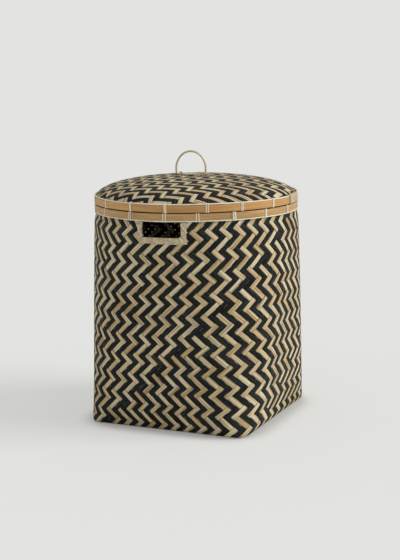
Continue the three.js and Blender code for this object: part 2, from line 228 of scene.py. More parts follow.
def startGroup(name, inputName, inputValue, outputNames):
    group = bpy.data.node_groups.new(name, "ShaderNodeTree")
    given = group.interface.new_socket(inputName, in_out="INPUT", socket_type="NodeSocketFloat")
    given.default_value = inputValue
    for outputName in outputNames:
        group.interface.new_socket(outputName, in_out="OUTPUT", socket_type="NodeSocketFloat")
    start = addNode(group, "NodeGroupInput", (-1200, 0))
    end = addNode(group, "NodeGroupOutput", (400, 0))
    return group, start.outputs[inputName], end.inputs


# Each mask has its scale along, across and from strip to strip, the noise's detail, and its range
fibreLook = {
    "masks": {
        "Fibre": ((0.4, 9, 1), 3, (0.3, 0.7)),
        "Streak": ((0.14, 3.4, 1), 2, (0.3, 0.7)),
        "Line": ((0.1, 6.5, 1), 1, (0.52, 0.66)),
    },
    "toneShift": 57,  # takes each strip to its own part of the noise
    "edge": (0.4, 0.5),  # from a strip's middle line, for strips one unit wide
}
handlingLook = {
    "blotchDetail": 4,
    "blotch": (0.35, 0.68),
    "speckleScale": 420,
    "speckleDetail": 2,
    "speckle": (0.52, 0.72),
}


def makeFibreGroup():
    # fine lengthwise fibres and slower streaks, along the grain map
    outputNames = (*fibreLook["masks"], "Edge", "Tone")
    group, fineness, end = startGroup("splitFibre", "Fineness", 1, outputNames)
    grain = addNode(group, "ShaderNodeUVMap", (-1200, 300), uv_map="grain")
    parts = addNode(group, "ShaderNodeSeparateXYZ", (-1000, 300), {0: grain.outputs["UV"]}).outputs
    tone = addNode(group, "ShaderNodeAttribute", (-1200, -250), attribute_name="tone").outputs["Fac"]
    shift = multiply(group, (-1000, -250), tone, fibreLook["toneShift"])
    fine = multiply(group, (-1000, 50), parts["Y"], fineness)
    strip = addNode(group, "ShaderNodeCombineXYZ", (-800, 200), {"X": parts["X"], "Y": fine, "Z": shift})
    for row, (name, (scale, detail, spread)) in enumerate(fibreLook["masks"].items()):
        level = 250 - 350 * row
        feeds = {"Vector": strip.outputs[0], "Scale": scale}
        stretch = addNode(group, "ShaderNodeMapping", (-600, level), feeds)
        mask = noiseMask(group, level, stretch.outputs[0], 1, detail, spread)
        group.links.new(mask, end[name])
    # both edges of a strip, where the light strips are darkened
    offMiddle = calculate(group, (-800, -500), "SUBTRACT", parts["Y"], 0.5)
    mirrored = calculate(group, (-800, -650), "SUBTRACT", 0.5, parts["Y"])
    away = calculate(group, (-600, -600), "MAXIMUM", offMiddle, mirrored)
    group.links.new(stretchRange(group, (-400, -600), away, *fibreLook["edge"]), end["Edge"])
    group.links.new(tone, end["Tone"])
    return group


def makeHandlingGroup():
    # faint blotches of age and handling, in the object's own space
    look = handlingLook
    group, scale, end = startGroup("handling", "Scale", 12, ("Blotch", "Speckle"))
    place = addNode(group, "ShaderNodeTexCoord", (-900, 250)).outputs["Object"]
    blotch = noiseMask(group, 250, place, scale, look["blotchDetail"], look["blotch"])
    speckle = noiseMask(group, -100, place, look["speckleScale"], look["speckleDetail"], look["speckle"])
    group.links.new(blotch, end["Blotch"])
    group.links.new(speckle, end["Speckle"])
    return group


fibreGroup = makeFibreGroup()
handlingGroup = makeHandlingGroup()


def startMaterial(name, fineness, blotchScale):
    material = bpy.data.materials.new(name)
    material.use_nodes = True
    tree = material.node_tree
    fibre = addNode(tree, "ShaderNodeGroup", (-1300, 200), node_tree=fibreGroup)
    fibre.inputs["Fineness"].default_value = fineness
    handling = addNode(tree, "ShaderNodeGroup", (-1300, -200), node_tree=handlingGroup)
    handling.inputs["Scale"].default_value = blotchScale
    return material, tree, fibre.outputs, handling.outputs


def finishMaterial(tree, colour, roughness, height, bumpStrength, shine):
    shader = tree.nodes["Principled BSDF"].inputs
    feeds = {"Strength": bumpStrength, "Distance": 0.3 * mm, "Height": height}
    bump = addNode(tree, "ShaderNodeBump", (-250, -400), feeds)
    feed(tree, shader["Specular IOR Level"], shine)
    feed(tree, shader["Base Color"], colour)
    feed(tree, shader["Roughness"], roughness)
    feed(tree, shader["Normal"], bump.outputs["Normal"])


stripLook = {
    "straw": paint(216, 203, 168),
    "tan": paint(192, 160, 114),
    "brownFibre": paint(104, 80, 52),
    "black": paint(16, 17, 16),
    "blackWorn": paint(28, 34, 34),
    "blackLine": paint(72, 78, 74),
    "rubbed": paint(104, 98, 80),
    "edge": paint(52, 42, 30),
    "streakWarmth": 0.6,  # straw turns to tan along streaks and from strip to strip
    "toneWarmth": 0.55,
    "warmRange": (0.3, 1.05),
    "lines": 0.72,  # brown fibres in the straw
    "wear": 0.75,
    "blackLines": 0.4,
    "rub": 0.12,
    "roughness": 0.46,
    "fibreRoughness": 0.18,
    "bump": 0.35,
    "shine": 0.1,
}


def makeStripMaterial():
    look = stripLook
    material, tree, fibre, handling = startMaterial("splitStrip", 1, 9)
    warm = calculate(tree, (-1050, 350), "MULTIPLY", fibre["Streak"], look["streakWarmth"])
    warmer = calculate(tree, (-1050, 180), "MULTIPLY_ADD", fibre["Tone"], look["toneWarmth"], warm)
    warmth = stretchRange(tree, (-850, 350), warmer, *look["warmRange"])
    pale = mixColours(tree, (-650, 350), warmth, look["straw"], look["tan"])
    brown = calculate(tree, (-850, 100), "MULTIPLY", fibre["Line"], look["lines"])
    lined = mixColours(tree, (-550, 350), brown, pale, look["brownFibre"])
    # light strips turn dark brown along both edges
    light = mixColours(tree, (-450, 350), fibre["Edge"], lined, look["edge"])
    worn = calculate(tree, (-850, -60), "MULTIPLY", fibre["Streak"], look["wear"])
    coal = mixColours(tree, (-650, 60), worn, look["black"], look["blackWorn"])
    scored = calculate(tree, (-850, -150), "MULTIPLY", fibre["Line"], look["blackLines"])
    grained = mixColours(tree, (-550, 60), scored, coal, look["blackLine"])
    rub = calculate(tree, (-850, -240), "MULTIPLY", handling["Speckle"], look["rub"])
    dark = mixColours(tree, (-450, 60), rub, grained, look["rubbed"])
    dyed = addNode(tree, "ShaderNodeAttribute", (-650, -160), attribute_name="dark")
    colour = mixColours(tree, (-250, 250), dyed.outputs["Fac"], light, dark)
    rough = (fibre["Fibre"], look["fibreRoughness"], look["roughness"])
    roughness = calculate(tree, (-450, -160), "MULTIPLY_ADD", *rough)
    finishMaterial(tree, colour, roughness, fibre["Fibre"], look["bump"], look["shine"])
    return material


def makeSplitMaterial(name, look):
    # bamboo or cane: a base colour, a second along the streaks, a third in the fibres
    material, tree, fibre, handling = startMaterial(name, look["fineness"], look["blotchScale"])
    streaked = mixColours(tree, (-850, 300), fibre["Streak"], look["base"], look["second"])
    blotchMask = calculate(tree, (-850, 60), "MULTIPLY", handling["Blotch"], look["blotch"])
    aged = mixColours(tree, (-650, 300), blotchMask, streaked, look["aged"])
    fibreMask = calculate(tree, (-850, -120), "MULTIPLY", fibre["Fibre"], look["fibre"])
    colour = mixColours(tree, (-450, 300), fibreMask, aged, look["fibreColour"])
    roughness = calculate(tree, (-450, -60), "MULTIPLY_ADD", fibre["Fibre"], 0.2, look["roughness"])
    finishMaterial(tree, colour, roughness, fibre["Fibre"], look["bump"], look["shine"])
    return material


splitLooks = {
    "lidHoopBamboo": {
        "base": paint(216, 169, 104), "second": paint(198, 148, 84), "aged": paint(160, 114, 62),
        "fibreColour": paint(146, 106, 64), "fineness": 1.2, "blotchScale": 7, "blotch": 0.5,
        "fibre": 0.35, "roughness": 0.36, "bump": 0.2, "shine": 0.45,
    },
    "bodyHoopBamboo": {
        "base": paint(208, 168, 112), "second": paint(186, 146, 91), "aged": paint(146, 110, 66),
        "fibreColour": paint(124, 98, 68), "fineness": 1.2, "blotchScale": 8, "blotch": 0.45,
        "fibre": 0.35, "roughness": 0.38, "bump": 0.25, "shine": 0.45,
    },
    "innerBamboo": {
        "base": paint(150, 116, 78), "second": paint(128, 96, 62), "aged": paint(98, 72, 48),
        "fibreColour": paint(88, 62, 40), "fineness": 1.1, "blotchScale": 8, "blotch": 0.5,
        "fibre": 0.35, "roughness": 0.5, "bump": 0.3, "shine": 0.35,
    },
    "paleCane": {
        "base": paint(243, 237, 216), "second": paint(230, 221, 192), "aged": paint(208, 192, 158),
        "fibreColour": paint(178, 158, 118), "fineness": 2.2, "blotchScale": 60, "blotch": 0.35,
        "fibre": 0.25, "roughness": 0.4, "bump": 0.2, "shine": 0.35,
    },
    "wrapStrip": {
        "base": paint(214, 200, 170), "second": paint(192, 174, 140), "aged": paint(158, 136, 102),
        "fibreColour": paint(134, 110, 76), "fineness": 1, "blotchScale": 90, "blotch": 0.6,
        "fibre": 0.5, "roughness": 0.5, "bump": 0.5, "shine": 0.35,
    },
    "bindingStrip": {
        "base": paint(230, 216, 182), "second": paint(208, 192, 156), "aged": paint(166, 146, 110),
        "fibreColour": paint(132, 112, 80), "fineness": 1.3, "blotchScale": 150, "blotch": 0.6,
        "fibre": 0.5, "roughness": 0.6, "bump": 0.6, "shine": 0.35,
    },
    "handleCane": {
        "base": paint(224, 214, 180), "second": paint(208, 196, 158), "aged": paint(178, 164, 126),
        "fibreColour": paint(152, 136, 100), "fineness": 2, "blotchScale": 26, "blotch": 0.45,
        "fibre": 0.25, "roughness": 0.35, "bump": 0.15, "shine": 0.35,
    },
}
stripMaterial = makeStripMaterial()
materials = {name: makeSplitMaterial(name, look) for name, look in splitLooks.items()}
print("materials made,", len(materials) + 1)


# The wall: a rounded square that turns into the rim's circle, a little tighter at the rim than at the foot.
# along is measured round the foot, and climb up the wall's own line from where the flat base ends.
def smoothStep(value, low, high):
    part = np.clip((value - low) / (high - low), 0, 1)
    return part * part * (3 - 2 * part)


def climbHeight(climb):
    edge = body["baseEdge"]
    turned = edge * (1 - np.cos(np.clip(climb, 0, edgeLength) / edge))
    return turned + np.maximum(climb - edgeLength, 0)


def wallPoint(along, climb, out):
    height = climbHeight(climb)
    share = np.minimum(1, height / body["pinchTop"])
    tightness = 1 + (rimTightness - 1) * share ** body["drawInPower"]
    radius = body["cornerRadius"] + (rim - body["cornerRadius"]) * np.sqrt(share)
    straight = np.maximum(0, quarter * tightness - math.pi / 2 * radius)
    lean = np.clip(climb, 0, edgeLength) / body["baseEdge"]
    pinch = body["pinchIn"] * smoothStep(height, body["pinchBottom"], body["pinchTop"])
    reach = radius - body["baseEdge"] + (body["baseEdge"] + out) * np.sin(lean) - pinch
    level = np.where(climb < edgeLength, body["baseEdge"] - (body["baseEdge"] + out) * np.cos(lean), height)
    side = np.round(along / quarter)
    local = (along - side * quarter) * tightness
    flat = np.minimum(np.abs(local), straight / 2)
    turn = (np.abs(local) - flat) / radius
    x = np.sign(local) * (flat + reach * np.sin(turn))
    y = -(straight / 2 + reach * np.cos(turn))
    face = side * math.pi / 2
    return np.stack([x * np.cos(face) - y * np.sin(face), x * np.sin(face) + y * np.cos(face), level], -1)


# Body weave. Seen from outside, falling strips run down to the right and rising strips up to the right.
# A place on the wall is a pair: its count across the falling strips and its count across the rising ones.
weave = {
    "strips": 88,  # each way
    "risePerStrip": 6.8 * mm,
    "tall": 67,  # crossings from the foot past the rim
    "lap": 3,  # crossings below the foot
    "twill": 3,  # each strip passes over three and under three
    "twillStart": 4,
    "countFrom": -34,  # the rising strip at the left of the front
    "shiftFrom": 15,  # rising strips past this one are laid one step on
    "shiftTo": 54,
    "swapFrom": -9,  # between these the rising strips alternate the other way
    "swapTo": 35,
    "baseCells": (24, 20),  # strips that cross the front edge and the side edge of the base
    "edgeCount": -2,
    "drift": {  # how the weaver's lines wander, in strips: pairs for the foot and the change to the rim
        "across": [-0.37, -1.23, -0.06, -0.66, -0.25, 1.45, 1.84, -2.03, 2.09, -2.58],
        "up": [-1.2, 0.3, -0.23, 0, 0.41, 0.59, 0.23, 1.21, -0.34, -0.95],
        "rimHeight": 420 * mm,
        "cornerReach": 40 * mm,
        "edgeReach": 30 * mm,
    },
    "width": 0.93,  # share of the spacing
    "thickness": 0.75 * mm,
    "middle": -0.8 * mm,
    "swing": 0.54 * mm,  # how far a strip goes in and out
    "tightSwing": 0.4 * mm,  # at the foot and between the hoops
    "baseSwing": 0.42 * mm,
    "freeAbove": (4 * mm, 14 * mm),
    "tightAbove": (396 * mm, 412 * mm),
    "crown": 0.12 * mm,  # extra rise in the middle of a float
    "topHeight": 433.6 * mm,
    "climbRange": (-60 * mm, 500 * mm),
}
sideStrips = weave["strips"] // 4
acrossPerStrip = girth / (2 * weave["strips"])
edgeRise = edgeLength - body["baseEdge"]
stripSection = np.array([(-1, 0.1), (-0.88, 0.5), (0.88, 0.5), (1, 0.1), (1, -0.5), (-1, -0.5)])


def wander(terms, along, height):
    turn = along / girth * 2 * math.pi
    level = height / weave["drift"]["rimHeight"]
    waves = [np.ones_like(turn), np.cos(turn), np.sin(turn), np.cos(2 * turn), np.sin(2 * turn)]
    return sum(wave * (terms[2 * n] + terms[2 * n + 1] * level) for n, wave in enumerate(waves))


def driftAcross(along, climb):
    # the counts of the base's edges are met at its four corners
    drift = weave["drift"]
    value = wander(drift["across"], along, np.maximum(climb - edgeRise, 0))
    for corner in range(4):
        place = (corner + 0.5) * quarter
        wanted = weave["baseCells"][0] - weave["baseCells"][1]
        wanted = wanted / 2 if corner % 2 == 0 else -wanted / 2
        miss = wanted - wander(drift["across"], np.array(place), 0)
        distance = (along - place + girth / 2) % girth - girth / 2
        value = value + miss * np.exp(-(distance**2 + climb**2) / (2 * drift["cornerReach"] ** 2))
    return value


def driftUp(along, climb):
    drift = weave["drift"]
    atEdge = weave["edgeCount"] + edgeRise / weave["risePerStrip"]
    miss = atEdge - wander(drift["up"], along, 0)
    value = wander(drift["up"], along, np.maximum(climb - edgeRise, 0))
    return value + miss * np.exp(-((climb / drift["edgeReach"]) ** 2))


def wallPlace(falling, rising):
    along = acrossPerStrip * (falling + rising)
    climb = weave["risePerStrip"] * (falling - rising) + edgeRise
    for _ in range(solveSteps):
        along = acrossPerStrip * (falling + rising - driftAcross(along, climb))
        climb = weave["risePerStrip"] * (falling - rising - driftUp(along, climb)) + edgeRise
        climb = np.clip(climb, *weave["climbRange"])
    return along, climb


def risingNumber(index):
    # counted round from the left of the front, so that it jumps where the pattern does
    return (index - weave["countFrom"]) % weave["strips"] + weave["countFrom"]


def twillIsOver(first, second, start=0):
    return (first - second + start) % (2 * weave["twill"]) < weave["twill"]


def fallingIsOver(falling, rising):
    number = risingNumber(rising)
    shift = (number >= weave["shiftFrom"]) & (number < weave["shiftTo"])
    return twillIsOver(falling, rising, weave["twillStart"] + shift)


def risingIsDark(index):
    swapped = weave["swapFrom"] <= risingNumber(index) < weave["swapTo"]
    return (index + swapped) % 2 == 0


def layStrip(index, first, last, dark, look, isOver, place, second=False):
    # One strip from crossing to crossing, three stations to each. isOver and place take the count
    # across the first strips and then the count across the second ones.
    def inOrder(own, crossing):
        return (crossing, own) if second else (own, crossing)

    cells = np.arange(first, last)
    stations = (cells[:, None] + np.array([0, 0.25, 0.75])).ravel()
    before = np.floor(stations - 0.01).astype(int)
    after = np.floor(stations + 0.01).astype(int)
    level = sum((isOver(*inOrder(index, cell)) != second) * 1.0 for cell in (before, after)) - 1
    crowned = (level == 1) & (np.roll(level, 1) == 1) & (np.roll(level, -1) == 1)
    half = look["width"] / 2 * (1 + chance.normal(0, 0.025))
    own = index + 0.5 + chance.normal(0, 0.02) + half * stripSection[:, 0]
    shape = (len(stations), len(stripSection))
    counts = inOrder(np.broadcast_to(own, shape), np.broadcast_to(stations[:, None], shape))
    points, inside = place(*counts, level[:, None], crowned[:, None], stripSection[:, 1])
    keep = inside[:-1] & inside[1:]
    steps = np.linalg.norm(np.diff(points.mean(1), axis=0), axis=1)
    run = np.concatenate([[0], np.cumsum(steps)]) / (10 * mm)
    return {"points": points, "keep": keep, "run": run, "dark": dark, "tone": chance.random()}


def buildStrips(name, strips):
    sides = len(stripSection)
    across = (stripSection[:, 0] + 1) / 2
    points, faces, grain, dark, tone = [], [], [], [], []
    start = 0
    for strip in strips:
        stations = len(strip["points"])
        points.append(strip["points"].reshape(-1, 3))
        run = np.repeat(strip["run"], sides)
        grain.append(np.stack([run, np.tile(across, stations)], -1))
        middle = strip["points"][stations // 2 : stations // 2 + 2]
        acrossWay = middle[0][3] - middle[0][0]
        outWay = middle[0][1] - middle[0][5]
        flip = np.dot(np.cross(acrossWay, outWay), middle[1][0] - middle[0][0]) > 0
        made = 0
        for s in np.flatnonzero(strip["keep"]):
            a = start + sides * int(s)
            edges = [(a + k, a + (k + 1) % sides) for k in range(sides)]
            ring = [(left, right, right + sides, left + sides) for left, right in edges]
            if s == 0 or not strip["keep"][s - 1]:
                ring.append(tuple(a + k for k in reversed(range(sides))))
            if s == stations - 2 or not strip["keep"][s + 1]:
                ring.append(tuple(a + sides + k for k in range(sides)))
            faces += [face[::-1] if flip else face for face in ring]
            made += len(ring)
        dark.append(np.full(made, strip["dark"], np.float32))
        tone.append(np.full(made, strip["tone"], np.float32))
        start += sides * stations
    mesh = bpy.data.meshes.new(name)
    mesh.from_pydata(np.concatenate(points), [], faces)
    writeGrain(mesh, np.concatenate(grain))
    writeAttribute(mesh, "dark", np.concatenate(dark))
    writeAttribute(mesh, "tone", np.concatenate(tone))
    piece = bpy.data.objects.new(name, mesh)
    bpy.context.scene.collection.objects.link(piece)
    editAll(piece)
    bpy.ops.mesh.delete_loose()
    leaveEdit()
    return piece


def finishWeave(name, strips, rides, nodes):
    finishPiece(buildStrips(name, strips), rides, "split_strip", stripMaterial, nodes, 30)


def inHandHole(along, height):
    side = np.round(along / quarter)
    local = along - side * quarter
    facing = np.mod(side, 2) == 0
    beside = (local > grip["left"] - grip["margin"]) & (local < grip["right"] + grip["margin"])
    level = (height > grip["bottom"] - grip["margin"]) & (height < grip["top"] + grip["topMargin"])
    return facing & beside & level


def placeOnWall(falling, rising, level, crowned, depth):
    along, climb = wallPlace(falling, rising)
    above = climb > 0
    climb = np.maximum(climb, 0)
    height = climbHeight(climb)
    free = smoothStep(height, *weave["freeAbove"]) * (1 - smoothStep(height, *weave["tightAbove"]))
    swing = weave["tightSwing"] + (weave["swing"] - weave["tightSwing"]) * free
    out = weave["middle"] + level * swing + crowned * weave["crown"] * free + depth * weave["thickness"]
    inside = above.any(1) & (height < weave["topHeight"]).all(1) & ~inHandHole(along, height).any(1)
    return wallPoint(along, climb, out), inside


def layWallSide(side):
    wall = (weave, fallingIsOver, placeOnWall)
    tall, lap = weave["tall"], weave["lap"]
    strips = []
    for index in range(side * sideStrips, (side + 1) * sideStrips):
        strips.append(layStrip(index, index - tall, index + lap + 1, index % 2 == 0, *wall))
        strips.append(layStrip(index, index - lap, index + tall, risingIsDark(index), *wall, second=True))
    finishWeave("wall_strips_" + "abcd"[side], strips, "basket", ["body_weave"])


for side in range(4):
    layWallSide(side)
print("wall woven")


# Base: one flat weave whose strips meet those of the four walls along its edges
baseWeave = {
    "first": (-33, 11),  # the strips of each way, and the crossings along them
    "firstRun": (-13, 35),
    "second": (-11, 33),
    "secondRun": (-35, 13),
    "blend": (1 * mm, 40 * mm),  # how far in from an edge its strips are bent to meet the wall's
}


def placeOnBase(first, second, level, crowned, depth):
    frontCells, sideCells = weave["baseCells"]
    x = baseHalf * (first + second) / frontCells
    y = -baseHalf * (first - second + sideStrips) / sideCells
    inside = ((np.abs(x) < baseHalf) & (np.abs(y) < baseHalf)).any(1)
    x = np.clip(x, -baseHalf, baseHalf)
    y = np.clip(y, -baseHalf, baseHalf)
    side = np.argmax(np.stack([-y, x, y, -x]), 0)
    local = np.choose(side, [x, y, -x, -y])
    cells = np.where(side % 2 == 0, frontCells, sideCells)
    count = sideStrips * side + cells / 2 * local / baseHalf
    along, _ = wallPlace(count - 1, count + 1)
    edge = wallPoint(along, np.zeros_like(along), 0)
    turn = side * math.pi / 2
    straightX = local * np.cos(turn) + baseHalf * np.sin(turn)
    straightY = local * np.sin(turn) - baseHalf * np.cos(turn)
    reach = np.clip(baseHalf - np.abs(local), *baseWeave["blend"])
    fade = 1 - smoothStep(baseHalf - np.maximum(np.abs(x), np.abs(y)), 0, reach)
    x = x + (edge[..., 0] - straightX) * fade
    y = y + (edge[..., 1] - straightY) * fade
    out = weave["middle"] + level * weave["baseSwing"] + depth * weave["thickness"]
    return np.stack([x, y, -out], -1), inside


def baseIsOver(first, second):
    return twillIsOver(first, second, weave["twillStart"])


def layBase():
    base = (weave, baseIsOver, placeOnBase)
    strips = []
    for index in range(*baseWeave["first"]):
        strips.append(layStrip(index, *baseWeave["firstRun"], index % 2 == 0, *base))
    for index in range(*baseWeave["second"]):
        strips.append(layStrip(index, *baseWeave["secondRun"], index % 2 == 1, *base, second=True))
    finishWeave("base_strips", strips, "basket", ["body_weave"])


layBase()
print("base woven")


# Lid weave: columns run front to back and rows from side to side over a full dome, its crown off the middle
lidWeave = {
    "radius": rim - 3 * mm,
    "rise": 43 * mm,
    "fullness": 2.25,
    "crownAside": (-10 * mm, -4.6 * mm),
    "leanPower": 1.5,
    "skirtTop": 444 * mm,
    "skirtBottom": 437.8 * mm,
    "unit": 200 * mm,
    # counts across the columns and rows: middle, side, front to back, and how they wander
    "columns": (-14.09, 20.46, 0.77, -0.45, 0.24, 0.67),
    "rows": (10.6, -2.8, 19.9, -0.12, -1.71, -0.81),
    "columnRange": (-38, 12),
    "rowRange": (-14, 36),
    "width": 0.94,
    "thickness": 0.66 * mm,
    "middle": -0.78 * mm,
    "swing": 0.48 * mm,
    "tightSwing": 0.38 * mm,  # between the hoops
    "tightNear": (24 * mm, 12 * mm),  # from the foot of the skirt
    "crown": 0.2 * mm,
    "slopeReach": 1.5 * mm,
}


def domeLine():
    # points of the outer line from the crown to the foot of the skirt, with the length along it
    turn = np.linspace(0, math.pi / 2, 400) ** 1.5 / (math.pi / 2) ** 0.5
    power = 2 / lidWeave["fullness"]
    radius = lidWeave["radius"] * np.sin(turn) ** power
    height = lidWeave["skirtTop"] + lidWeave["rise"] * np.maximum(np.cos(turn), 0) ** power
    radius = np.append(radius, lidWeave["radius"])
    height = np.append(height, lidWeave["skirtBottom"])
    steps = np.hypot(np.diff(radius), np.diff(height))
    return radius, height, np.concatenate([[0], np.cumsum(steps)])


domeRadius, domeHeight, domeLength = domeLine()


def domePoint(x, y, out):
    length = np.minimum(np.hypot(x, y), domeLength[-1])
    heading = np.arctan2(y, x)
    radius = np.interp(length, domeLength, domeRadius)
    height = np.interp(length, domeLength, domeHeight)
    near = np.maximum(length - lidWeave["slopeReach"], 0)
    far = np.minimum(length + lidWeave["slopeReach"], domeLength[-1])
    across = np.interp(far, domeLength, domeRadius) - np.interp(near, domeLength, domeRadius)
    down = np.interp(near, domeLength, domeHeight) - np.interp(far, domeLength, domeHeight)
    size = np.hypot(across, down)
    radius = radius + out * down / size
    height = height + out * across / size
    share = np.maximum(height - out - lidWeave["skirtTop"], 0) / lidWeave["rise"]
    lean = share ** lidWeave["leanPower"]
    x = radius * np.cos(heading) + lidWeave["crownAside"][0] * lean
    y = radius * np.sin(heading) + lidWeave["crownAside"][1] * lean
    return np.stack([x, y, height], -1)


def placeOnLid(column, row, level, crowned, depth):
    a, b = lidWeave["columns"], lidWeave["rows"]
    x = np.zeros_like(column, dtype=float)
    y = np.zeros_like(x)
    for _ in range(solveSteps):
        bentX = (column - a[0] - a[2] * y - a[3] * x * x - a[4] * x * y - a[5] * y * y) / a[1]
        bentY = (row - b[0] - b[1] * x - b[3] * x * x - b[4] * x * y - b[5] * y * y) / b[2]
        x = np.clip(bentX, -2, 2)
        y = np.clip(bentY, -2, 2)
    length = np.hypot(x, y) * lidWeave["unit"]
    inside = (length < domeLength[-1]).any(1)
    tightFrom, tightTo = (domeLength[-1] - reach for reach in lidWeave["tightNear"])
    free = 1 - smoothStep(length, tightFrom, tightTo)
    swing = lidWeave["tightSwing"] + (lidWeave["swing"] - lidWeave["tightSwing"]) * free
    out = lidWeave["middle"] + level * swing + crowned * lidWeave["crown"] * free
    return domePoint(x * lidWeave["unit"], y * lidWeave["unit"], out + depth * lidWeave["thickness"]), inside


def layLid():
    dome = (lidWeave, twillIsOver, placeOnLid)
    columns, rows = lidWeave["columnRange"], lidWeave["rowRange"]
    strips = [layStrip(index, *rows, index % 2 == 0, *dome) for index in range(*columns)]
    strips += [layStrip(index, *columns, index % 2 == 0, *dome, second=True) for index in range(*rows)]
    strips = [strip for strip in strips if strip["keep"].any()]
    finishWeave("lid_strips", strips, "lid", ["lid_weave"])


layLid()
print("lid woven")

# Hoops and edge canes: a section at the front, spun round into a ring with its ends butted
hoopLook = {
    "inAndOut": 0.4,  # waver in and out, as a share of the waver up and down
    "nodeRise": 0.5 * mm,  # bamboo's nodes stand proud
    "nodeReach": 2.2 * mm,
}


def spinRing(name, ringLook, sides):
    middle = (ringLook["inner"] + ringLook["outer"]) / 2
    level = (ringLook["bottom"] + ringLook["top"]) / 2
    thickness = ringLook["outer"] - ringLook["inner"]
    depth = ringLook["top"] - ringLook["bottom"]
    piece = startSection(name, (0, -middle, level), sides, 0.5)
    bpy.ops.transform.resize(value=(1, thickness, depth), center_override=(0, -middle, level))
    if ringLook["easing"]:
        bpy.ops.mesh.bevel(offset=ringLook["easing"], segments=3, affect="VERTICES")
    bpy.ops.mesh.select_all(action="SELECT")
    turn = 2 * math.pi - ringLook["butt"] / middle
    bpy.ops.mesh.spin(steps=ringLook["steps"], angle=turn, center=(0, 0, 0), axis=(0, 0, 1))
    leaveEdit()
    recalculateNormals(piece)
    start = math.radians(ringLook["joint"]) + ringLook["butt"] / middle / 2
    phase = chance.random(4) * 2 * math.pi

    def grainOf(points):
        angle = np.mod(np.arctan2(points[:, 0], -points[:, 1]) + 0.001, 2 * math.pi)
        return np.stack([angle * middle, points[:, 2] + np.hypot(points[:, 0], points[:, 1])], -1)

    def settle(points):
        # turned to its joint, and not quite true, as split bamboo is
        angle = np.arctan2(points[:, 0], -points[:, 1])
        radius = np.hypot(points[:, 0], points[:, 1])
        wave = np.sin(5 * angle + phase[0]) + 0.6 * np.sin(11 * angle + phase[1])
        lift = np.sin(4 * angle + phase[2]) + 0.5 * np.sin(9 * angle + phase[3])
        radius = radius + ringLook["waver"] * wave * hoopLook["inAndOut"]
        for node in ringLook.get("nodes", ()):
            near = np.mod(angle + start - math.radians(node) + math.pi, 2 * math.pi) - math.pi
            outside = smoothStep(radius, middle, ringLook["outer"])
            swell = np.exp(-((near * middle / hoopLook["nodeReach"]) ** 2))
            radius = radius + hoopLook["nodeRise"] * outside * swell
        turnedBy = angle + start
        x = radius * np.sin(turnedBy)
        return np.stack([x, -radius * np.cos(turnedBy), points[:, 2] + ringLook["waver"] * lift], -1)

    setGrain(piece, grainOf)
    setTone(piece, chance.random())
    moveVertices(piece, settle)
    return piece


bodyRim = {
    "outerHoop": {
        "inner": rim - 2.6 * mm, "outer": rim, "bottom": 422.3 * mm, "top": 435.2 * mm, "joint": 42.9,
        "butt": 1.2 * mm, "easing": 0.8 * mm, "steps": 240, "waver": 0.15 * mm, "nodes": (-100, 12, 128),
    },
    "innerHoop": {
        "inner": rim - 7.4 * mm, "outer": rim - 4.9 * mm, "bottom": 419.8 * mm, "top": 435.2 * mm,
        "joint": 190, "butt": 1 * mm, "easing": 0.7 * mm, "steps": 160, "waver": 0.05 * mm,
    },
    "edgeCane": {
        "inner": rim - 2.3 * mm, "outer": rim + 0.2 * mm, "bottom": 419.6 * mm, "top": 422.2 * mm,
        "joint": 170, "butt": 0.4 * mm, "easing": 0, "steps": 240, "waver": 0.25 * mm,
    },
}
lidRim = {
    "outerHoop": {
        "inner": rim - 2.6 * mm, "outer": rim, "bottom": 437.4 * mm, "top": 450.9 * mm, "joint": 86.7,
        "butt": 5.5 * mm, "easing": 0.8 * mm, "steps": 240, "waver": 0.15 * mm, "nodes": (-130, -8, 150),
    },
    "innerHoop": {
        "inner": rim - 8.7 * mm, "outer": rim - 5 * mm, "bottom": 437.4 * mm, "top": 444 * mm,
        "joint": 200, "butt": 1 * mm, "easing": 0.8 * mm, "steps": 160, "waver": 0.05 * mm,
    },
    "locatingHoop": {
        "inner": rim - 11.5 * mm, "outer": rim - 9.2 * mm, "bottom": 421.3 * mm, "top": 446 * mm,
        "joint": 150, "butt": 1 * mm, "easing": 0.8 * mm, "steps": 160, "waver": 0.04 * mm,
    },
    "edgeCane": {
        "inner": rim - 3.2 * mm, "outer": rim - 0.4 * mm, "bottom": 451.1 * mm, "top": 453.9 * mm,
        "joint": 185, "butt": 0.4 * mm, "easing": 0, "steps": 240, "waver": 0.3 * mm,
    },
}
rings = [
    ("body_hoop", bodyRim["outerHoop"], 4, "basket", "body_hoop", "bodyHoopBamboo", "body_outer_hoop"),
    ("body_hoop_inside", bodyRim["innerHoop"], 4, "basket", "inner_hoop", "innerBamboo", "body_inner_hoop"),
    ("body_cane", bodyRim["edgeCane"], 8, "basket", "pale_cane", "paleCane", "body_edge_cane"),
    ("lid_hoop", lidRim["outerHoop"], 4, "lid", "lid_hoop", "lidHoopBamboo", "lid_outer_hoop"),
    ("lid_hoop_inside", lidRim["innerHoop"], 4, "lid", "inner_hoop", "innerBamboo", "lid_inner_hoop"),
    ("lid_locating", lidRim["locatingHoop"], 4, "lid", "inner_hoop", "innerBamboo", "lid_locating_hoop"),
    ("lid_cane", lidRim["edgeCane"], 8, "lid", "pale_cane", "paleCane", "lid_edge_cane"),
]
for name, look, sides, rides, slotName, material, node in rings:
    finishPiece(spinRing(name, look, sides), rides, slotName, materials[material], [node])
print("hoops and edge canes made")


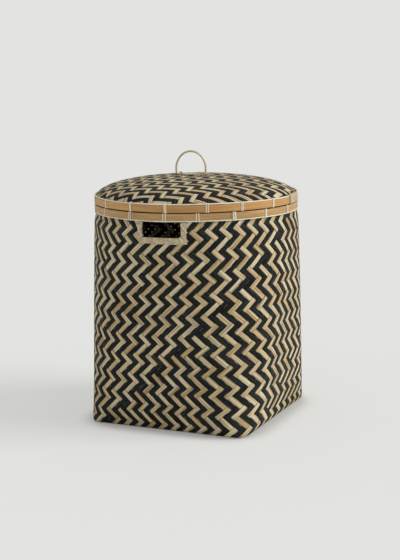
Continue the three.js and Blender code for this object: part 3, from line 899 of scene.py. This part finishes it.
# Strips that are bent to a line: ties, wraps, bindings and stitches
def roundedLine(corners, radius):
    # straight runs with each corner rounded; the two ends stay where they are
    corners = [np.array(corner, float) for corner in corners]
    points = [corners[0]]
    for before, corner, after in zip(corners, corners[1:], corners[2:]):
        back = before - corner
        ahead = after - corner
        start = corner + back * min(radius / np.linalg.norm(back), 0.49)
        end = corner + ahead * min(radius / np.linalg.norm(ahead), 0.49)
        for t in np.linspace(0, 1, 6):
            points.append((1 - t) ** 2 * start + 2 * t * (1 - t) * corner + t * t * end)
    return np.array(points + [corners[-1]])


def lineLength(line):
    return np.linalg.norm(np.diff(line, axis=0), axis=1).sum()


def flatStrip(name, width, line, thickness, columns, rows, easing=0.12 * mm):
    # as long as its line, and lengthwise along Y
    bpy.ops.object.select_all(action="DESELECT")
    bpy.ops.mesh.primitive_grid_add(x_subdivisions=columns, y_subdivisions=rows, size=1)
    piece = bpy.context.object
    piece.name = name
    editAll(piece)
    bpy.ops.transform.resize(value=(width, lineLength(line), 1), center_override=(0, 0, 0))
    leaveEdit()
    rounding = {"width": easing, "segments": 2, "limit_method": "ANGLE", "angle_limit": math.radians(60)}
    applyModifier(piece, "SOLIDIFY", thickness=thickness, offset=0)
    applyModifier(piece, "BEVEL", **rounding)
    setGrain(piece, lambda points: points[:, [1, 0]] + 5 * mm)
    return piece


def copyStrip(master):
    piece = master.copy()
    piece.data = master.data.copy()
    bpy.context.scene.collection.objects.link(piece)
    return piece


def bendStrip(piece, line, place):
    # place turns the line's two coordinates and the distance across the strip into points
    steps = np.linalg.norm(np.diff(line, axis=0), axis=1)
    lengths = np.concatenate([[0], np.cumsum(steps)])
    normals = np.gradient(line, lengths, axis=0)
    normals = np.stack([normals[:, 1], -normals[:, 0]], -1)
    normals /= np.linalg.norm(normals, axis=1)[:, None]

    def bend(points):
        at = np.clip(points[:, 1] + lengths[-1] / 2, 0, lengths[-1])
        first = np.interp(at, lengths, line[:, 0]) + points[:, 2] * np.interp(at, lengths, normals[:, 0])
        second = np.interp(at, lengths, line[:, 1]) + points[:, 2] * np.interp(at, lengths, normals[:, 1])
        return place(first, second, points[:, 0])

    moveVertices(piece, bend)
    recalculateNormals(piece)
    setTone(piece, chance.random())
    return piece


def joinPieces(name, pieces):
    selectOnly(*pieces)
    if len(pieces) > 1:
        bpy.ops.object.join()
    pieces[0].name = name
    return pieces[0]


# Rim ties: strands of cane side by side, drawn round the hoops. Angles are in degrees round the rim,
# strands in millimetres beside them, and corners in millimetres of radius and height.
bodyTies = {
    "angles": [-35.5, -13.5, 7.6, 25.4, 45.3, 65.1, 84.6],
    "count": 19,
    "strands": [(0,), (-2.1, 2.1), (-2.9, 2.7), (-2.8, 2.8), (-2.7, 0.1, 2.7), (-1.2, 1.2), (-1.1, 1.1)],
    "corners": [
        (196.5, 427.5), (196.5, 419.2), (205.6, 419.2), (205.6, 435.9), (196.5, 435.9), (196.5, 428),
    ],
    "width": 1.9 * mm,
    "gather": 0.8,  # how far apart the strands are at the top, as a share of the foot
}
lidTies = {
    "angles": [-33.9, -12.9, 8.2, 30.5, 49.8, 70.9, 96.2],
    "count": 18,
    "strands": [(-0.8, 0.8), (-1, 1), (-1.7, 0, 1.7), (-2.2, 2.1), (-1.5, 1.5), (-1, 1), (0,)],
    "corners": [
        (192.4, 441), (192.4, 436.8), (205.6, 436.8), (205.6, 452.9),
        (204.6, 454.4), (199.2, 454.6), (192.4, 446.4), (192.4, 441.5),
    ],
    "width": 1.8 * mm,
    "gather": 0.9,
    "wrapIndex": 6,  # the last tie in view is the wide wrap
}
tieLook = {
    "thickness": 0.55 * mm,
    "corner": 1.2 * mm,
    "leanSpread": 0.35 * mm,
    "placeSpread": 0.12,
    "hiddenKinds": 5,  # the ties out of view repeat the first of those in view
}
wrapLook = {
    "width": 58 * mm,
    "thickness": 0.6 * mm,
    "ridge": 0.16 * mm,
    "turn": 5.4 * mm,
    "ridgeDepth": 2 * mm,  # only its outer face is ridged
}


def tieAngles(look):
    first, last = look["angles"][0], look["angles"][-1]
    hidden = look["count"] - len(look["angles"])
    step = (first + 360 - last) / (hidden + 1)
    return look["angles"] + [last + (i + 1) * step for i in range(hidden)]


def rimPlace(angle, offset, look, lean):
    heights = [corner[1] * mm for corner in look["corners"]]
    low, high = min(heights), max(heights)

    def place(radius, height, across):
        share = (height - low) / (high - low)
        away = across + offset * (1 + (look["gather"] - 1) * share) + lean * (share - 0.5)
        turn = math.radians(angle) + away / rim
        return np.stack([radius * np.sin(turn), -radius * np.cos(turn), height], -1)

    return place


def makeRimTies(look, rides, nodeName):
    line = roundedLine(np.array(look["corners"]) * mm, tieLook["corner"])
    master = flatStrip("strand", look["width"], line, tieLook["thickness"], 2, 44)
    number = 0
    for index, angle in enumerate(tieAngles(look)):
        if index == look.get("wrapIndex"):
            continue
        number += 1
        inView = index < len(look["angles"])
        strands = look["strands"][index if inView else index % tieLook["hiddenKinds"]]
        lean = chance.normal(0, tieLook["leanSpread"])
        pieces = []
        for strand in strands:
            offset = (strand + chance.normal(0, tieLook["placeSpread"])) * mm
            pieces.append(bendStrip(copyStrip(master), line, rimPlace(angle, offset, look, lean)))
        node = f"{nodeName}_{number:02d}"
        tie = joinPieces(node.replace("_rim", ""), pieces)
        finishPiece(tie, rides, "pale_cane", materials["paleCane"], [node])
    bpy.data.objects.remove(master)


def makeWrap():
    line = roundedLine(np.array(lidTies["corners"]) * mm, tieLook["corner"])
    wrap = flatStrip("lid_wrap", wrapLook["width"], line, wrapLook["thickness"], 16, 60)
    place = rimPlace(lidTies["angles"][lidTies["wrapIndex"]], 0, lidTies, 0)

    def creased(radius, height, across):
        # laid in overlapping turns, so that it is a little ridged across
        ridge = wrapLook["ridge"] * np.abs(np.sin(across / wrapLook["turn"] * math.pi))
        return place(radius + ridge * (radius > rim - wrapLook["ridgeDepth"]), height, across)

    bendStrip(wrap, line, creased)
    finishPiece(wrap, "lid", "pale_cane", materials["wrapStrip"], ["lid_hoop_wrap"])


makeRimTies(bodyTies, "basket", "body_rim_tie")
makeRimTies(lidTies, "lid", "lid_rim_tie")
makeWrap()
print("rims tied")

# Hand holes: folded strips round three sides, held by slanting stitches
gripLook = {
    "out": 0.7 * mm,  # middle of the outer leaf, from the wall's face
    "in": -3.05 * mm,
    "thickness": 0.8 * mm,
    "foldRadius": 1.6 * mm,
    "easing": 0.22 * mm,
    "sideBottom": 389.3 * mm,
    "sideTop": 418.6 * mm,
    "leftTaper": 0.5,  # the left binding narrows towards its foot
    "rightTaper": 0.1,
    "sideRough": 0.35 * mm,  # how far the cut edges and the faces waver
    "sideRipple": 0.12 * mm,
    "bottomRough": 0.4 * mm,
    "bottomRipple": 0.15 * mm,
    "bottomReach": 7 * mm,  # the bottom binding past the hole's left edge
    "bottomSlant": 3 * mm,
    "stitchOut": 1.4 * mm,
    "stitchIn": -3.8 * mm,
    "stitchWidth": 1.9 * mm,
    "stitchThickness": 0.5 * mm,
    "stitchCorner": 1.3 * mm,
    "stitches": {
        # middle along the wall, middle height, lean from level, half length
        "left": [(-27 * mm, 403 * mm, -59, 12.6 * mm)],
        "right": [(65.6 * mm, 407.5 * mm, -51, 10.4 * mm), (60.6 * mm, 386.5 * mm, -54, 5.5 * mm)],
    },
}


def onWall(along, height, out, turned):
    points = wallPoint(along, height + edgeRise, out)
    if turned:
        points = points * np.array([-1, -1, 1])
    return points


def foldBinding(wall, edgeName, leaf, fold, width, columns, place):
    # a strip folded over an edge of the hole, from the end of its leaf to the fold and back inside
    out, inner = gripLook["out"], gripLook["in"]
    line = roundedLine([(out, leaf), (out, fold), (inner, fold), (inner, leaf)], gripLook["foldRadius"])
    name = f"{wall}_binding_{edgeName}"
    piece = flatStrip(name, width, line, gripLook["thickness"], columns, 30, gripLook["easing"])
    bendStrip(piece, line, place)
    node = f"{wall}_grip_binding_{edgeName}"
    finishPiece(piece, "basket", "binding_strip", materials["bindingStrip"], [node])


def makeSideBinding(wall, side, turned):
    outwards = -1 if side == "left" else 1
    edge = grip[side]
    fold = edge + outwards * gripLook["thickness"] / 2
    leaf = edge + outwards * grip["bindingWidth"]
    bottom, tall = gripLook["sideBottom"], gripLook["sideTop"] - gripLook["sideBottom"]
    taper = gripLook[side + "Taper"]
    phase = chance.random() * 6

    def folded(outAt, along, across):
        level = (across + tall / 2) / tall
        rough = gripLook["sideRough"] * np.sin(level * 9 + phase) * (np.abs(along - edge) > 9 * mm)
        along = edge + (along - edge) * (1 - taper * (1 - level)) + rough
        ripple = gripLook["sideRipple"] * np.sin(level * 14 + phase)
        return onWall(along, bottom + level * tall, outAt + ripple, turned)

    foldBinding(wall, side, leaf, fold, tall, 14, folded)


def makeBottomBinding(wall, turned):
    bottom = grip["bottom"] - grip["bindingWidth"]
    fold = grip["bottom"] - gripLook["thickness"] / 2
    left, right = grip["left"] - gripLook["bottomReach"], grip["right"] + grip["bindingWidth"]
    phase = chance.random() * 6

    def folded(outAt, height, across):
        along = across + (left + right) / 2
        share = (along - left) / (right - left)
        rough = gripLook["bottomRough"] * np.sin(share * 17 + phase) * (height < bottom + 3 * mm)
        ripple = gripLook["bottomRipple"] * np.sin(share * 31 + phase)
        slant = (height - bottom) / (fold - bottom) * gripLook["bottomSlant"] * (0.5 - share)
        return onWall(along + slant, height + rough, outAt + ripple, turned)

    foldBinding(wall, "bottom", bottom, fold, right - left, 40, folded)


def makeStitches(wall, side, turned):
    pieces = []
    out, inner = gripLook["stitchOut"], gripLook["stitchIn"]
    middle = (out + inner) / 2
    for along, height, lean, half in gripLook["stitches"][side]:
        corners = [(-half, middle), (-half, out), (half, out), (half, inner), (-half, inner), (-half, middle)]
        line = roundedLine(corners, gripLook["stitchCorner"])
        strand = flatStrip("stitch", gripLook["stitchWidth"], line, gripLook["stitchThickness"], 2, 40)
        slope = math.radians(lean)

        def slanted(run, outAt, across):
            alongAt = along + run * math.cos(slope) - across * math.sin(slope)
            heightAt = height + run * math.sin(slope) + across * math.cos(slope)
            return onWall(alongAt, heightAt, outAt, turned)

        pieces.append(bendStrip(strand, line, slanted))
    stitches = joinPieces(f"{wall}_stitch_{side}", pieces)
    finishPiece(stitches, "basket", "pale_cane", materials["paleCane"], [f"{wall}_grip_stitch_{side}"])


for wall, turned in (("front", False), ("back", True)):
    for side in ("left", "right"):
        makeSideBinding(wall, side, turned)
        makeStitches(wall, side, turned)
    makeBottomBinding(wall, turned)
print("hand holes bound")

# Ring handle: a cane bent round, its bar lying on the crown under two ties
handleLook = {
    "bar": 489.3 * mm,  # height of the bar's centre line
    "cane": 2 * mm,  # radius
    "sides": 14,
    "halfWidth": 32 * mm,
    "height": 46.3 * mm,
    "corner": 4.5 * mm,
    "aside": 1.6 * mm,
    "lean": 1 * mm,
    "binding": (-19 * mm, 16.5 * mm),  # the bar is bound with a strip between its ties
    "bindingRadius": 2.6 * mm,
    "bindingTurn": 2.4 * mm,
    "bindingRidge": 0.09,
    "bindingSteps": 72,
    "ties": {"left": -22.5 * mm, "right": 19.5 * mm},
    "tieCorners": [(0, -5.1), (-2.7, -5.1), (-2.7, 2.8), (2.7, 2.8), (2.7, -5.1), (0.1, -5.1)],
    "tieCorner": 1.9 * mm,
    "tieTurns": [(-1.5, 0, 1), (0.9, 0.1, 1), (-0.2, 0.55, 1.14)],  # place along the bar, slant, size
    "strandWidth": 2.1 * mm,
    "strandThickness": 0.5 * mm,
    "knotRadius": 2.9 * mm,
    "knotPlace": (1.6 * mm, -1.6 * mm, 3.8 * mm),  # from the middle of its tie
    "knotShape": (1.4, 0.8, 0.8),
    "knotWaist": 0.7 * mm,
}


def onCrown(x, y, z):
    aside, back = lidWeave["crownAside"]
    return np.stack([x + aside + handleLook["aside"], y + back, z], -1)


def extrude(x, z, times):
    for _ in range(times):
        bpy.ops.mesh.extrude_region_move(TRANSFORM_OT_translate={"value": (x / times, 0, z / times)})


def makeHandle():
    bar, corner = handleLook["bar"], handleLook["corner"]
    straight = handleLook["halfWidth"] - corner
    bowHeight = bar + handleLook["height"] - handleLook["halfWidth"]
    leg = bowHeight - bar - corner
    ring = startSection("handle", (0, 0, bar), handleLook["sides"], handleLook["cane"])

    def spin(x, z, degrees, steps):
        bpy.ops.mesh.spin(steps=steps, angle=math.radians(degrees), center=(x, 0, z), axis=(0, 1, 0))

    extrude(straight, 0, 6)
    spin(straight, bar + corner, 90, 7)
    extrude(0, leg, 2)
    spin(0, bowHeight, 180, 32)
    extrude(0, -leg, 2)
    spin(-straight, bar + corner, 90, 7)
    extrude(straight, 0, 6)
    leaveEdit()
    for face in ring.data.polygons:
        face.select = abs(face.center.x) < 0.01 * mm and abs(face.normal.x) > 0.9
    bpy.ops.object.mode_set(mode="EDIT")
    bpy.ops.mesh.delete(type="ONLY_FACE")
    leaveEdit()
    recalculateNormals(ring)
    middle = bar + handleLook["height"] / 2

    def grainOf(points):
        angle = np.arctan2(points[:, 0], middle - points[:, 2])
        return np.stack([angle * 30 * mm, points[:, 1]], -1)

    def settle(points):
        x, y, z = points.T
        rise = (z - bar) / handleLook["height"]
        x = x * (1 + 0.02 * np.sin(rise * 6)) + handleLook["lean"] * rise
        return onCrown(x, y, z)

    setGrain(ring, grainOf)
    setTone(ring, 0.4)
    moveVertices(ring, settle)
    finishPiece(ring, "handle", "handle_cane", materials["handleCane"], ["handle_ring"])


def makeBarBinding():
    start, stop = handleLook["binding"]
    bar = handleLook["bar"]
    place = (start, 0, bar)
    binding = startSection("handle_binding", place, handleLook["sides"], handleLook["bindingRadius"])
    extrude(stop - start, 0, handleLook["bindingSteps"])
    leaveEdit()
    recalculateNormals(binding)

    def wound(points):
        # each turn of the strip stands a little proud, and the turns slant
        x, y, z = points.T
        turn = (x + 0.15 * y) / handleLook["bindingTurn"]
        ridge = 1 + handleLook["bindingRidge"] * np.abs(np.sin(turn * math.pi))
        return onCrown(x, y * ridge, bar + (z - bar) * ridge)

    setGrain(binding, lambda points: points[:, [1, 0]])
    setTone(binding, 0.7)
    moveVertices(binding, wound)
    finishPiece(binding, "handle", "pale_cane", materials["paleCane"], ["handle_ring"])


def makeHandleTie(side):
    bar, tieAt = handleLook["bar"], handleLook["ties"][side]
    line = roundedLine(np.array(handleLook["tieCorners"]) * mm, handleLook["tieCorner"])
    master = flatStrip("strand", handleLook["strandWidth"], line, handleLook["strandThickness"], 2, 36)
    pieces = []
    for offset, slant, size in handleLook["tieTurns"]:

        def wound(y, z, across):
            x = tieAt + offset * mm + across + slant * (z - 1 * mm)
            return onCrown(x, y * size, bar + np.where(z > 0, z * size, z))

        pieces.append(bendStrip(copyStrip(master), line, wound))
    bpy.data.objects.remove(master)
    bpy.ops.object.select_all(action="DESELECT")
    bpy.ops.mesh.primitive_uv_sphere_add(segments=12, ring_count=8, radius=handleLook["knotRadius"])
    knot = bpy.context.object
    knotX, knotY, knotZ = handleLook["knotPlace"]
    knotPlace = onCrown(tieAt + knotX, knotY, bar + knotZ)

    def tied(points):
        pinch = 1 - 0.3 * np.exp(-((points[:, :1] / handleLook["knotWaist"]) ** 2))
        return points * pinch * np.array(handleLook["knotShape"]) + knotPlace

    setGrain(knot, lambda points: points[:, :2])
    moveVertices(knot, tied)
    setTone(knot, 0.2)
    tie = joinPieces(f"handle_lash_{side}", pieces + [knot])
    finishPiece(tie, "lid", "pale_cane", materials["paleCane"], [f"handle_tie_{side}"])


makeHandle()
makeBarBinding()
makeHandleTie("left")
makeHandleTie("right")
print("handle bent and tied")

# Floor, camera and light
stageLook = {
    "floorColour": paint(236, 236, 234),
    "background": paint(227, 227, 225),  # what the camera sees past the floor
    "evenNear": 0.58,  # share of that flat tone in the floor round the basket, and where it takes over
    "evenFrom": 0.6,
    "evenTo": 2.2,
    "contactReach": 0.045,  # painted contact shadow: the floor's colour darkens softly where the basket stands on it
    "contactRange": (0.45, 1),
    "paintedContactShade": paint(192, 190, 184),
    "skyColour": (1, 1, 0.99, 1),
    "skyStrength": 0.55,
    "sunStrength": 2.05,
    "sunElevation": 34,
    "sunAzimuth": 106,  # from the front towards +X
    "sunAngle": 36,  # soft
    "cameraPlace": (1.0949, -2.3692, 0.7515),
    "cameraTurn": 24.7,
    "cameraDown": 10.41,
    "cameraRoll": -1.06,
    "lens": 83.4,
}


def makeFloor():
    look = stageLook
    bpy.ops.object.select_all(action="DESELECT")
    bpy.ops.mesh.primitive_grid_add(x_subdivisions=8, y_subdivisions=8, size=60)
    floor = bpy.context.object
    floor.name = "floor"
    material = bpy.data.materials.new("studioFloor")
    material.use_nodes = True
    tree = material.node_tree
    shader = tree.nodes["Principled BSDF"]
    reach = {"Distance": look["contactReach"]}
    # painted contact shadow: ambient occlusion darkens the floor's base colour next to the basket
    nearness = addNode(tree, "ShaderNodeAmbientOcclusion", (-900, 0), reach, samples=12)
    openness = stretchRange(tree, (-700, 0), nearness.outputs["AO"], *look["contactRange"])
    colour = mixColours(tree, (-300, 0), openness, look["paintedContactShade"], look["floorColour"])
    feed(tree, shader.inputs["Base Color"], colour)
    feed(tree, shader.inputs["Roughness"], 0.9)
    feed(tree, shader.inputs["Specular IOR Level"], 0)
    even = addNode(tree, "ShaderNodeEmission", (-200, -300), {"Color": look["background"]})
    place = addNode(tree, "ShaderNodeTexCoord", (-900, 300)).outputs["Object"]
    away = addNode(tree, "ShaderNodeVectorMath", (-700, 300), {0: place}, operation="LENGTH")
    far = stretchRange(tree, (-500, 300), away.outputs["Value"], look["evenFrom"], look["evenTo"])
    share = calculate(tree, (-300, 300), "MULTIPLY_ADD", far, 1 - look["evenNear"], look["evenNear"])
    # the flat tone also gives way next to the basket, so the painted shadow shows
    clear = calculate(tree, (-300, 150), "MULTIPLY_ADD", openness, 0.5, 0.5)
    shareHere = calculate(tree, (-200, 250), "MULTIPLY", share, clear)
    rays = addNode(tree, "ShaderNodeLightPath", (-500, 600))
    shareSeen = calculate(tree, (-100, 400), "MULTIPLY", shareHere, rays.outputs["Is Camera Ray"])
    feeds = {0: shareSeen, 1: shader.outputs[0], 2: even.outputs[0]}
    mix = addNode(tree, "ShaderNodeMixShader", (200, 100), feeds)
    feed(tree, tree.nodes["Material Output"].inputs["Surface"], mix.outputs[0])
    floor.data.materials.append(material)


def makeLight():
    sun = bpy.data.lights.new("softSun", "SUN")
    sun.energy = stageLook["sunStrength"]
    sun.angle = math.radians(stageLook["sunAngle"])
    lamp = bpy.data.objects.new("softSun", sun)
    bpy.context.scene.collection.objects.link(lamp)
    tilt = math.radians(90 - stageLook["sunElevation"])
    lamp.rotation_euler = (tilt, 0, math.radians(stageLook["sunAzimuth"]))
    world = bpy.data.worlds.new("studio")
    bpy.context.scene.world = world
    world.use_nodes = True
    tree = world.node_tree
    tree.nodes.clear()
    skyFeeds = {"Color": stageLook["skyColour"], "Strength": stageLook["skyStrength"]}
    sky = addNode(tree, "ShaderNodeBackground", (0, 0), skyFeeds)
    backdrop = addNode(tree, "ShaderNodeBackground", (0, -200), {"Color": stageLook["background"]})
    rays = addNode(tree, "ShaderNodeLightPath", (-200, 200))
    feeds = {0: rays.outputs["Is Camera Ray"], 1: sky.outputs[0], 2: backdrop.outputs[0]}
    pick = addNode(tree, "ShaderNodeMixShader", (250, 0), feeds)
    addNode(tree, "ShaderNodeOutputWorld", (450, 0), {"Surface": pick.outputs[0]})


def makeCamera():
    camera = bpy.data.objects.new("camera", bpy.data.cameras.new("camera"))
    bpy.context.scene.collection.objects.link(camera)
    camera.data.lens = stageLook["lens"]
    camera.data.sensor_width = 36
    camera.data.clip_end = 200
    turn = Matrix.Rotation(math.radians(stageLook["cameraTurn"]), 4, "Z")
    down = Matrix.Rotation(math.radians(90 - stageLook["cameraDown"]), 4, "X")
    roll = Matrix.Rotation(math.radians(stageLook["cameraRoll"]), 4, "Z")
    camera.matrix_world = Matrix.Translation(stageLook["cameraPlace"]) @ turn @ down @ roll
    bpy.context.scene.camera = camera


makeFloor()
makeLight()
makeCamera()
bpy.context.scene.view_settings.view_transform = "Standard"
print("floor, light and camera set")
